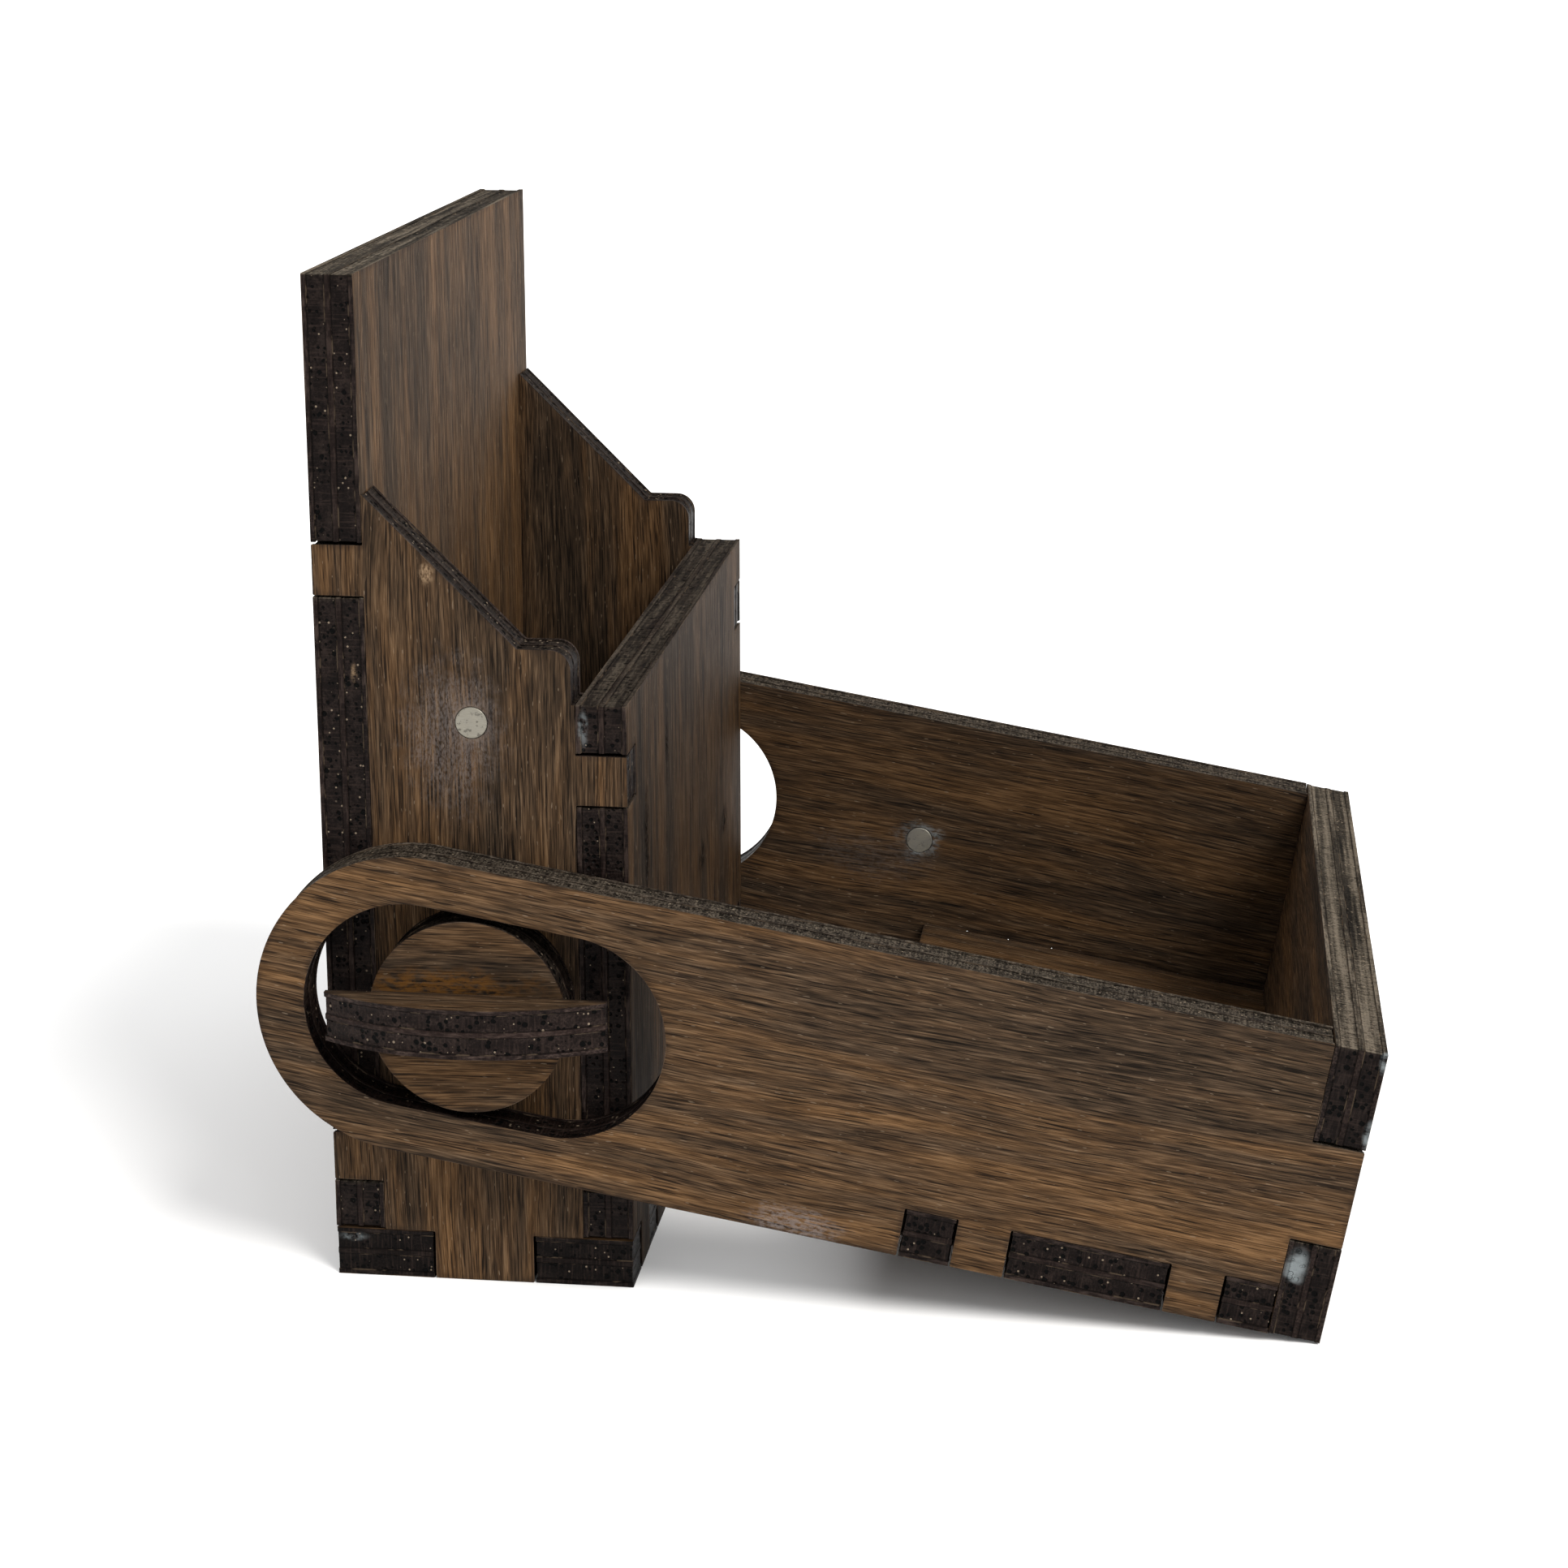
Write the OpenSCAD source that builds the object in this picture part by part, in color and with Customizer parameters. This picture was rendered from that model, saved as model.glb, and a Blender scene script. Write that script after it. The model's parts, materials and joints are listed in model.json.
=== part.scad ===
// Card-deck case of laser-cut plywood: an upright box for one deck, and a tray cover that turns and
// slides on two pivot discs. The origin is the centre of the box's base. +X points from the box to the
// tray's far end, +Y to the far side, +Z up. The tray is drawn as it lies open on the table.

/* [Plywood] */
// Thickness of every panel
ply = 4.8; // [3:0.1:6]
// Gap between a finger and the notch that takes it
seam = 0.1; // [0.02:0.01:0.2]

/* [Box] */
// Width of the box, from one side panel's outer face to the other's
box_w = 78; // [60:1:120]
// Depth of the box, from the back panel's outer face to the front panel's
box_d = 29; // [24:0.5:40]
// Height of the back panel
back_h = 96.5; // [90:0.5:120]
// Height of the front panel
front_h = 57.5; // [52:0.1:60]
// Height of the side panels where they meet the back panel
side_peak_h = 76.7; // [72:0.1:86]
// Height of the level ledge at the front of the side panels
side_ledge_h = 62.6; // [60.5:0.1:66]
// Radius of the ledge's outer corner
ledge_r = 2; // [0.5:0.1:2.4]
// Step of the ledge behind the front panel's inner face
ledge_step = 0.3; // [0.1:0.1:1]

/* [Pivot] */
// Height of the pivots above the base
pivot_h = 28.5; // [28:0.1:32]
// Radius of the pivot discs
disc_r = 9.35; // [7:0.05:9.5]
// Radius of the round peg behind each pivot bar
peg_r = 2.2; // [1.5:0.1:2.3]
// Radial clearance of the disc's bore on the peg
peg_clearance = 0.1; // [0.02:0.01:0.1]
// Clearance between the disc and the box side, and between the disc and the bar's shoulder
disc_gap = 0.1; // [0.05:0.01:0.15]
// Length of the pivot bars
bar_len = 26.6; // [22:0.2:28]
// How far a bar's middle stands out from its wings' back edge
bar_rise = 4.4; // [4:0.1:6]
// Height of a bar's curved edge at its two ends
bar_end_rise = 0.7; // [0.4:0.1:2]

/* [Tray] */
// Height of the tray's side panels, which is also the width of their round ends
tray_h = 29; // [26:0.5:32]
// Distance from the middle of the round end to the end panel's outer face
tray_reach = 88.6; // [84:0.2:100]
// Radius of the slot's round ends
slot_r = 9.9; // [9.8:0.05:10.5]
// Distance between the centres of the slot's round ends
slot_travel = 14.4; // [10:0.2:20]
// Distance from the slot's outer centre to the pivot while the tray lies open
open_slide = 5.6; // [0:0.2:8]
// Angle by which the open tray slopes down to the table
tray_tilt = 9.8; // [8:0.1:10]
// Clearance between a tray side and the box side, and between a tray side and the bar's wings
side_gap = 0.25; // [0.2:0.05:0.5]
// Length of the tray's bottom panel
floor_len = 40; // [30:1:42]

/* [Magnets] */
// Radius of the closing magnets
magnet_r = 1.5; // [1:0.1:2]
// Length of the closing magnets
magnet_len = 3; // [2:0.1:4]
// Distance of the box magnets above the pivot
magnet_rise = 27; // [24:0.5:30]
// Clearance of a magnet in its pocket
glue_gap = 0.02; // [0.01:0.01:0.05]

/* [Hidden] */

$fn = 64;
over = 1;                           // how far a cutting solid runs past a face

pitch = ply + seam;                 // one finger with its seam
hx = box_d / 2;                     // half the box's depth
hy = box_w / 2;                     // half the box's width
ix = hx - ply;                      // half the pocket's depth
iy = hy - ply;                      // half the pocket's width
foot_half = box_d / 6;              // half the width of a side panel's foot

low_tab = [2 * pitch, 3 * pitch];                       // low tabs of the side panels
front_tab = [front_h - 2 * ply, front_h - ply];         // high tabs at the front panel
back_tab = [side_peak_h - 2 * ply, side_peak_h - ply];  // high tabs at the back panel
floor_tab = [hy - 3 * pitch, hy - 2 * pitch];           // the bottom panel's tabs in both of them

ledge_x = ix - ledge_step;          // front edge of the side panels above the front panel
slope_x = side_peak_h - side_ledge_h - ix;  // where the 45 degree slope meets the ledge

wing_gap = ply + 2 * side_gap;      // from the box side to the back edge of a bar's wings
shoulder_gap = ply + 2 * disc_gap;  // from the box side to a bar's shoulder
shoulder_half = sqrt(pow(disc_r, 2) - pow(ply / 2, 2)) - seam;
bar_sag = bar_rise - bar_end_rise;
bar_r = (pow(bar_len / 2, 2) + pow(bar_sag, 2)) / (2 * bar_sag);

tray_iy = hy + side_gap;            // half the tray's inner width
tray_oy = tray_iy + ply;            // half the tray's outer width
hv = tray_h / 2;                    // half the tray's height
end_u = tray_reach - ply;           // the end panel's inner face
floor_u = end_u - floor_len;        // the start of the tray's bottom panel
floor_v = ply - hv;                 // the upper face of the tray's bottom panel
tray_tab_half = tray_h / 6;         // half the height of a side panel's tab in the end panel
magnet_u = slot_travel + magnet_rise;

// Spans of the bottom panel's tabs in the tray sides, from its free edge on
step = floor_len / 8;
tray_tabs = [
    [floor_u + step + seam, floor_u + 2 * step - seam],
    [floor_u + 3 * step + seam, floor_u + 6 * step - seam],
    [floor_u + 7 * step + seam, end_u]
];
// Spans of its tabs in the end panel, across the tray
end_tabs = [
    [-tray_iy + pitch, -tray_iy + 2 * pitch],
    [-1.5 * pitch, 1.5 * pitch],
    [tray_iy - 2 * pitch, tray_iy - pitch]
];

walnut = [0.33, 0.23, 0.16];
walnut_light = [0.40, 0.28, 0.19];
walnut_dark = [0.20, 0.15, 0.12];
nickel = [0.78, 0.78, 0.76];

// A rectangle from x[0] to x[1] and from y[0] to y[1]
module span(x, y) {
    translate([x[0], y[0]])
        square([x[1] - x[0], y[1] - y[0]]);
}

// The same rectangle on both sides of the middle
module spans(x, y) {
    span(x, y);
    span([-x[1], -x[0]], y);
}

function wider(s) = [s[0] - seam, s[1] + seam];

// A drawing of x and z becomes a board whose faces are at the two y values
module upright(y) {
    translate([0, y[1], 0])
        rotate([90, 0, 0])
            linear_extrude(y[1] - y[0])
                children();
}

// A drawing of y and z becomes a board whose faces are at the two x values
module across(x) {
    translate([x[0], 0, 0])
        rotate([90, 0, 90])
            linear_extrude(x[1] - x[0])
                children();
}

// A round bar along Y, from y[0] to y[1]
module rod(r, y) {
    translate([0, y[1], 0])
        rotate([90, 0, 0])
            cylinder(r = r, h = y[1] - y[0]);
}

// Makes the far part from the near one
module far() {
    mirror([0, 1, 0])
        children();
}

// The tray's own frame: x from the middle of the round ends to the end panel, z across the sides
module in_tray() {
    translate([0, 0, pivot_h])
        rotate([0, tray_tilt, 0])
            translate([-open_slide, 0, 0])
                children();
}

// Outline of the front or back panel, with the notches for its neighbours
module wall_outline(h, high_tab) {
    difference() {
        span([-hy, hy], [0, h]);
        for (tab = [low_tab, high_tab])
            spans([iy, hy + over], wider(tab));
        spans([iy - seam, hy + over], [-over, pitch]);
        spans(wider(floor_tab), [-over, pitch]);
    }
}

module box_back_panel() {
    color(walnut)
        across([-hx, -ix])
            wall_outline(back_h, back_tab);
}

module box_front_panel() {
    color(walnut)
        across([ix, hx])
            wall_outline(front_h, front_tab);
}

// Outline of a side panel: foot, tabs into the front and back panels, and the sloped top
module box_side_outline() {
    translate([ledge_x - ledge_r, side_ledge_h - ledge_r])
        circle(r = ledge_r);
    polygon([
        [-foot_half, 0], [foot_half, 0], [foot_half, ply], [ix, ply],
        [ix, low_tab[0]], [hx, low_tab[0]], [hx, low_tab[1]], [ix, low_tab[1]],
        [ix, front_tab[0]], [hx, front_tab[0]], [hx, front_tab[1]], [ix, front_tab[1]],
        [ix, front_h], [ledge_x, front_h],
        [ledge_x, side_ledge_h - ledge_r], [ledge_x - ledge_r, side_ledge_h - ledge_r],
        [ledge_x - ledge_r, side_ledge_h], [slope_x, side_ledge_h], [-ix, side_peak_h],
        [-ix, back_tab[1]], [-hx, back_tab[1]], [-hx, back_tab[0]], [-ix, back_tab[0]],
        [-ix, low_tab[1]], [-hx, low_tab[1]], [-hx, low_tab[0]], [-ix, low_tab[0]],
        [-ix, ply], [-foot_half, ply]
    ]);
}

module box_side() {
    difference() {
        upright([-hy, -iy])
            difference() {
                box_side_outline();
                translate([0, pivot_h])
                    circle(r = peg_r + glue_gap);
            }
        translate([0, 0, pivot_h + magnet_rise])
            rod(magnet_r + glue_gap, [-hy - over, -hy + magnet_len]);
    }
}

module box_side_near() {
    color(walnut_light)
        box_side();
}

module box_side_far() {
    color(walnut_light)
        far()
            box_side();
}

module box_bottom_panel() {
    color(walnut_dark)
        linear_extrude(ply)
            difference() {
                span([-hx, hx], [-hy, hy]);
                for (y = [[-hy - over, -iy], [iy, hy + over]])
                    span([-foot_half - seam, foot_half + seam], y);
                for (y = [[-iy, -floor_tab[1]], [-floor_tab[0], floor_tab[0]], [floor_tab[1], iy]])
                    spans([ix, hx + over], y);
            }
}

module box_magnet() {
    translate([0, 0, pivot_h + magnet_rise])
        rod(magnet_r, [-hy, -hy + magnet_len]);
}

module box_magnet_near() {
    color(nickel)
        box_magnet();
}

module box_magnet_far() {
    color(nickel)
        far()
            box_magnet();
}

module pivot_disc() {
    translate([0, 0, pivot_h])
        difference() {
            rod(disc_r, [-hy - disc_gap - ply, -hy - disc_gap]);
            rod(peg_r + peg_clearance, [-hy - ply - over, -hy + over]);
        }
}

module pivot_disc_near() {
    color(walnut_light)
        pivot_disc();
}

module pivot_disc_far() {
    color(walnut_light)
        far()
            pivot_disc();
}

// Half-moon of a pivot bar, drawn as x and the distance out from the box side
module bar_outline() {
    intersection() {
        span([-bar_len / 2, bar_len / 2], [wing_gap, wing_gap + bar_rise]);
        translate([0, wing_gap + bar_rise - bar_r])
            circle(r = bar_r, $fn = 128);
    }
    span([-shoulder_half, shoulder_half], [shoulder_gap, wing_gap]);
}

module pivot_bar() {
    translate([0, 0, pivot_h]) {
        translate([0, -hy, 0])
            mirror([0, 1, 0])
                linear_extrude(ply, center = true)
                    bar_outline();
        rod(peg_r, [-hy - wing_gap, -iy]);
    }
}

module pivot_bar_near() {
    color(walnut_dark)
        pivot_bar();
}

module pivot_bar_far() {
    color(walnut_dark)
        far()
            pivot_bar();
}

module slot() {
    for (u = [0, slot_travel])
        translate([u, 0])
            circle(r = slot_r);
    span([0, slot_travel], [-slot_r, slot_r]);
}

module tray_side_outline() {
    difference() {
        union() {
            circle(r = hv, $fn = 128);
            span([0, end_u], [-hv, hv]);
            span([0, tray_reach], [-tray_tab_half, tray_tab_half]);
        }
        slot();
        for (tab = tray_tabs)
            span(wider(tab), [-hv - over, floor_v]);
    }
}

module tray_side() {
    in_tray()
        difference() {
            upright([-tray_oy, -tray_iy])
                tray_side_outline();
            translate([magnet_u, 0, 0])
                rod(magnet_r + glue_gap, [-tray_iy - magnet_len, -tray_iy + over]);
        }
}

module tray_side_near() {
    color(walnut)
        tray_side();
}

module tray_side_far() {
    color(walnut)
        far()
            tray_side();
}

module tray_bottom_panel() {
    color(walnut_light)
        in_tray()
            translate([0, 0, -hv])
                linear_extrude(ply) {
                    span([floor_u, end_u], [-tray_iy, tray_iy]);
                    for (tab = tray_tabs)
                        span(tab, [-tray_oy, tray_oy]);
                    for (tab = end_tabs)
                        span([end_u, tray_reach], tab);
                }
}

module tray_end_panel() {
    color(walnut)
        in_tray()
            across([end_u, tray_reach])
                difference() {
                    span([-tray_oy, tray_oy], [-hv, hv]);
                    spans([tray_iy, tray_oy + over], wider([-tray_tab_half, tray_tab_half]));
                    for (tab = end_tabs)
                        span(wider(tab), [-hv - over, floor_v + seam]);
                }
}

module tray_magnet() {
    in_tray()
        translate([magnet_u, 0, 0])
            rod(magnet_r, [-tray_iy - magnet_len, -tray_iy]);
}

module tray_magnet_near() {
    color(nickel)
        tray_magnet();
}

module tray_magnet_far() {
    color(nickel)
        far()
            tray_magnet();
}

box_back_panel();
box_front_panel();
box_side_near();
box_side_far();
box_bottom_panel();
box_magnet_near();
box_magnet_far();
pivot_disc_near();
pivot_disc_far();
pivot_bar_near();
pivot_bar_far();
tray_side_near();
tray_side_far();
tray_bottom_panel();
tray_end_panel();
tray_magnet_near();
tray_magnet_far();
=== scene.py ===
"""Looks of the plywood card-deck case: laser-cut boards, nickel magnets, floor, lights and camera."""

import json
import math

import bpy
import numpy as np
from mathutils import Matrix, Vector, noise
from mathutils.geometry import delaunay_2d_cdt
from mathutils.kdtree import KDTree


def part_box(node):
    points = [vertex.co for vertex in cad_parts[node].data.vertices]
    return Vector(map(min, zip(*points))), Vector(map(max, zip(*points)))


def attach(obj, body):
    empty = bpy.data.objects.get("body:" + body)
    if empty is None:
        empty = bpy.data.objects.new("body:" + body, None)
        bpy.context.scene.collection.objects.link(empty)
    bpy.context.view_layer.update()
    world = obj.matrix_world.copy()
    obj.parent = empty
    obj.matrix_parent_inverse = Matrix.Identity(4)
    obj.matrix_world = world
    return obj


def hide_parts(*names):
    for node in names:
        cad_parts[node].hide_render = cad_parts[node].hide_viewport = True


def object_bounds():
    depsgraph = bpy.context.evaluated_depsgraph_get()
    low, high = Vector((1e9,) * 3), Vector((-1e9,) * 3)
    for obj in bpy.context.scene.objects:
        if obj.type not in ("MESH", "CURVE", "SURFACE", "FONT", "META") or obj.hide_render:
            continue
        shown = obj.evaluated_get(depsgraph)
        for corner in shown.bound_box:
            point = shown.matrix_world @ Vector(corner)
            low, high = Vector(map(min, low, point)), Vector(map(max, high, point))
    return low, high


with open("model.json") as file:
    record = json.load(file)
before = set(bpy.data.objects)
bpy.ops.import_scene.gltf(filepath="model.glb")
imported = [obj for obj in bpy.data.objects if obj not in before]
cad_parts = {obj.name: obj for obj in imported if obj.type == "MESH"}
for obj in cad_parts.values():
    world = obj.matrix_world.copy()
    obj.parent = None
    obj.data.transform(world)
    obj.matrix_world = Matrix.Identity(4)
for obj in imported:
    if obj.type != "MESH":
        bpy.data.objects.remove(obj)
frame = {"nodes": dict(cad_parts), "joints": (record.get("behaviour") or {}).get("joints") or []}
cad_low, cad_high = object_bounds()

MM = 0.001

# ---------------------------------------------------------------- frame of the boards

JOINTS = {j["name"]: j for j in frame["joints"]}
PIVOT = Vector(JOINTS["tray_swing"]["pos_m"])
X, Y, Z = Vector((1, 0, 0)), Vector((0, 1, 0)), Vector((0, 0, 1))
ALONG_TRAY = Vector(JOINTS["tray_slide"]["axis"]).normalized()
ACROSS_TRAY = Y.cross(-ALONG_TRAY)

# Veneer, cross ply, core, cross ply, veneer: where one ply ends and the next begins, in mm
PLY_JOINTS = (0.5, 2.1, 2.7, 4.3)
SHEET = 4.8                 # thickness of the whole sheet, in mm

STEP = 0.5 * MM             # spacing of the points along an edge, and of the rows down it
HALF_JOINT = 0.07 * MM      # half the height of a glue line between two plies
ARRIS = 0.11 * MM           # size of the worn arris between a face and an edge
ROUND_OUT = 0.18 * MM       # radius of an outer corner
ROUND_IN = 0.12 * MM        # radius of an inner corner
EATEN = 0.075 * MM          # how deep the laser ate into the cross plies
RIM = 0.8 * MM              # width of the darkened band round a face
FACE_STEP = 2.4 * MM        # spacing of the points inside a face
HOLLOW = 0.025 * MM         # how far a face sags on average
SHORT_SIDE = 1.0 * MM       # corners next to a shorter side stay sharp
SHARP_TURN = math.radians(25)
ARC_CHORD = 2.6 * MM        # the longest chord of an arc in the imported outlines
NO_TURN = 1e-4              # turns below this angle are flat
TOUCH = 1e-6                # points this close to a plane lie in it


def board_axes(grain, thickness):
    """Right-handed axes of a board: along the grain, across it, and through the thickness."""
    return np.array([grain, thickness.cross(grain), thickness])


def turns_of(loop):
    """Unit directions of a closed loop's sides, their lengths, and the turn at each point."""
    sides = np.roll(loop, -1, 0) - loop
    lengths = np.linalg.norm(sides, axis=1)
    ways = sides / lengths[:, None]
    before = np.roll(ways, 1, 0)
    turns = np.arctan2(before[:, 0] * ways[:, 1] - before[:, 1] * ways[:, 0], (before * ways).sum(1))
    return ways, lengths, turns


def flat_loops(points, triangles, level):
    """Closed outlines of the flat face that lies at one level of the thickness axis."""
    flat = np.abs(points[:, 2] - level) < TOUCH
    sides = set()
    for tri in triangles[flat[triangles].all(1)]:
        sides |= {(tri[0], tri[1]), (tri[1], tri[2]), (tri[2], tri[0])}
    follows = {a: b for a, b in sides if (b, a) not in sides}
    loops = []
    while follows:
        start, here = follows.popitem()
        chain = [start]
        while here != start:
            chain.append(here)
            here = follows.pop(here)
        loops.append(points[chain][:, :2])
    return [without_flat_points(loop) for loop in loops]


def without_flat_points(loop):
    """The loop without the points at which it doesn't turn."""
    return loop[np.abs(turns_of(loop)[2]) > NO_TURN]


def rounded_corners(loop):
    """The loop with each sharp corner replaced by a short curve, and which of its points were left.

    Outer loops run anticlockwise, and holes run clockwise.
    """
    ways, lengths, turns = turns_of(loop)
    found = []
    for i, point in enumerate(loop):
        if abs(turns[i]) < SHARP_TURN or min(lengths[i], lengths[i - 1]) < SHORT_SIDE:
            found.append((point, abs(turns[i]) < SHARP_TURN))
            continue
        reach = (ROUND_OUT if turns[i] > 0 else ROUND_IN) * math.sqrt(0.5) / math.cos(turns[i] / 2)
        start, end = point - ways[i - 1] * reach, point + ways[i] * reach
        for t in (0, 1 / 3, 2 / 3, 1):
            found.append(((1 - t) ** 2 * start + 2 * t * (1 - t) * point + t * t * end, False))
    return np.array([p for p, _ in found]), [soft for _, soft in found]


def refined(loop):
    """The loop with rounded corners, true arcs, and points at most one step apart."""
    loop, soft = rounded_corners(loop)
    ways, lengths, turns = turns_of(loop)
    count = len(loop)
    found = []
    for i in range(count):
        after = (i + 1) % count
        parts = max(1, math.ceil(lengths[i] / STEP))
        bulge = 0
        if soft[i] and soft[after] and lengths[i] < ARC_CHORD:
            bulge = lengths[i] / 2 * math.tan(max(turns[i], turns[after], key=abs) / 4)
        outward = np.array([ways[i][1], -ways[i][0]])
        for k in range(parts):
            t = k / parts
            found.append(loop[i] + ways[i] * lengths[i] * t + outward * 4 * bulge * t * (1 - t))
    return np.array(found)


def outward_normals(loop):
    """Normals of a closed loop, longer at corners, so that an inset keeps its width."""
    ways = turns_of(loop)[0]
    right = np.stack([ways[:, 1], -ways[:, 0]], 1)
    mean = right + np.roll(right, 1, 0)
    mean /= np.linalg.norm(mean, axis=1)[:, None]
    return mean / np.maximum((mean * right).sum(1), 0.7)[:, None]


def bend_radius(loop):
    """Radius of the bend at each point where an outline turns outwards, and one metre elsewhere."""
    _, lengths, turns = turns_of(loop)
    mean = (lengths + np.roll(lengths, 1)) / 2
    return np.where(turns > 1e-3, mean / np.maximum(turns, 1e-3), 1.0)


def smooth_noise(points, scale, seed):
    """Noise from -1 to 1 at each point. Scale is in noise cells per metre, one number per axis."""
    shift = Vector((seed * 17.3, seed * -9.1, seed * 5.7))
    return np.array([noise.noise(Vector(p) + shift) for p in np.asarray(points) * np.asarray(scale)])


# ---------------------------------------------------------------- mesh of a board

class Shell:
    """A mesh that is being put together.

    Each point has three values from 0 to 1: cut on a laser-cut edge, rim near the edge of a face, and
    upward on an outer edge that faces up at rest.
    """

    def __init__(self):
        self.points = []
        self.faces = []
        self.values = {"cut": [], "rim": [], "upward": []}

    def add(self, points, cut, rim, upward=0.0):
        first = len(self.points)
        self.points += [tuple(p) for p in points]
        for name, value in (("cut", cut), ("rim", rim), ("upward", upward)):
            self.values[name] += list(np.broadcast_to(value, len(points)))
        return np.arange(first, first + len(points))

    def bridge(self, lower, upper):
        """Quads between two rings of the same length, given in order of depth."""
        for a, b, c, d in zip(lower, np.roll(lower, -1), np.roll(upper, -1), upper):
            self.faces.append((int(a), int(b), int(c), int(d)))


def edge_rows(thick):
    """Depths of the rows of points down an edge, with a pair of rows at each joint between plies."""
    rows = [ARRIS]
    for joint in PLY_JOINTS:
        depth = thick * joint / SHEET
        gap = depth - HALF_JOINT - rows[-1]
        parts = max(1, round(gap / STEP))
        for _ in range(1, parts):
            rows.append(rows[-1] + gap / parts)
        rows += [depth - HALF_JOINT, depth + HALF_JOINT]
    return rows + [thick - ARRIS]


def ply_recess(depth, thick):
    """How far the laser ate into the ply at this depth, as a share of the deepest."""
    veneer_end, core_start, core_end, veneer_start = (thick * joint / SHEET for joint in PLY_JOINTS)
    if depth < veneer_end or depth > veneer_start:
        return 0.0
    return 0.35 if core_start < depth < core_end else 1.0


def cut_edge(shell, loop, low, thick, axes, seed):
    """The wall of a laser-cut edge. Returns its first and last ring, which bound the faces."""
    normals = outward_normals(loop)
    upward = np.clip((normals @ axes[:2])[:, 2], 0, 1) * (turns_of(loop)[2].sum() > 0)
    level = np.full((len(loop), 1), low)
    at = np.hstack([loop, level])
    worn = ARRIS * (1.0 + 0.35 * smooth_noise(at, (180, 180, 0), seed))
    worn = np.clip(worn, 0, np.maximum(0.6 * bend_radius(loop), 0.02 * MM))
    eaten = EATEN * (1.3 + smooth_noise(at, (260, 260, 0), seed + 1))

    def ring(depth, inset, cut, rim):
        moved = loop - normals * np.broadcast_to(inset, len(loop))[:, None]
        column = low + np.broadcast_to(depth, len(loop))
        return shell.add(np.column_stack([moved, column]), cut, rim, upward)

    rings = [ring(0, worn, 0, 1), ring(worn * 0.3, worn * 0.3, 0.7, 1)]
    for depth in edge_rows(thick):
        rows = np.column_stack([loop, low + np.full(len(loop), depth)])
        rough = 0.022 * MM * (1 + smooth_noise(rows, (1300, 1300, 500), seed + 2))
        wander = 0.03 * MM * (1 + smooth_noise(rows, (120, 120, 60), seed + 3))
        rings.append(ring(depth, rough + wander + eaten * ply_recess(depth, thick), 1, 1))
    rings += [ring(thick - worn * 0.3, worn * 0.3, 0.7, 1), ring(thick, worn, 0, 1)]
    for lower, upper in zip(rings, rings[1:]):
        shell.bridge(lower, upper)
    return rings[0], rings[-1]


def inside(point, loops):
    """True if the point is inside an odd number of the loops."""
    hit = False
    for loop in loops:
        after = np.roll(loop, -1, 0)
        spans = (loop[:, 1] > point[1]) != (after[:, 1] > point[1])
        a, b = loop[spans], after[spans]
        cross = a[:, 0] + (point[1] - a[:, 1]) * (b[:, 0] - a[:, 0]) / (b[:, 1] - a[:, 1])
        hit ^= bool((cross > point[0]).sum() % 2)
    return hit


def face_points(loops):
    """Points inside a face: one row just within the outline, then an even net."""
    border = KDTree(sum(len(loop) for loop in loops))
    for k, p in enumerate(np.vstack(loops)):
        border.insert((p[0], p[1], 0), k)
    border.balance()
    found = []

    def try_point(p, clear, apart):
        if border.find((p[0], p[1], 0))[2] < clear or not inside(p, loops):
            return
        if all((q[0] - p[0]) ** 2 + (q[1] - p[1]) ** 2 > apart ** 2 for q in found[-40:]):
            found.append(p)

    for loop in loops:
        for p, n in list(zip(loop, outward_normals(loop)))[::2]:
            try_point(p - n * RIM, 0.9 * RIM, 0.5 * RIM)
    low, high = np.vstack(loops).min(0), np.vstack(loops).max(0)
    for x in np.arange(low[0] + FACE_STEP / 2, high[0], FACE_STEP):
        for y in np.arange(low[1] + FACE_STEP / 2, high[1], FACE_STEP):
            try_point(np.array([x, y]), 1.6 * RIM, 0)
    return found


def face(shell, rings, level, upward, seed):
    """A veneer face between the rings of its outline, very slightly uneven."""
    loops = [np.array([shell.points[i][:2] for i in ring]) for ring in rings]
    extra = face_points(loops)
    points, sides = [], []
    known = []
    for ring, loop in zip(rings, loops):
        first = len(points)
        points += [Vector(p) for p in loop]
        known += [int(i) for i in ring]
        sides += [(first + k, first + (k + 1) % len(loop)) for k in range(len(loop))]
    if extra:
        net = np.array(extra)
        at = np.column_stack([net, np.zeros(len(net))])
        hollow = HOLLOW * (1 + smooth_noise(at, (55, 90, 0), seed))
        depth = level - hollow if upward else level + hollow
        known += [int(i) for i in shell.add(np.column_stack([net, depth]), 0, 0)]
        points += [Vector(p) for p in extra]
    found, _, faces, origin, _, _ = delaunay_2d_cdt(points, sides, [], 0, 1e-9)
    for tri in faces:
        middle = sum((np.array(found[i]) for i in tri), np.zeros(2)) / 3
        if inside(middle, loops):
            names = [known[origin[i][0]] for i in tri]
            shell.faces.append(tuple(names if upward else reversed(names)))


def runs_through(loop, others):
    """True if the other face has this loop too, and False for a blind pocket."""
    same_length = [other for other in others if len(other) == len(loop)]
    return any(np.allclose(other.mean(0), loop.mean(0), atol=1e-5) for other in same_length)


def node_faces(node, axes):
    """The points of a CAD node in board axes, merged where they meet, and its triangles."""
    mesh = frame["nodes"][node].data
    points = np.array([v.co for v in mesh.vertices]) @ axes.T
    keys = [tuple(k) for k in np.round(points / 1e-7).astype(np.int64) // 5]
    first = {}
    merged = np.array([first.setdefault(k, i) for i, k in enumerate(keys)])
    mesh.calc_loop_triangles()
    triangles = merged[np.array([t.vertices[:] for t in mesh.loop_triangles])]
    return points, triangles


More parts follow.
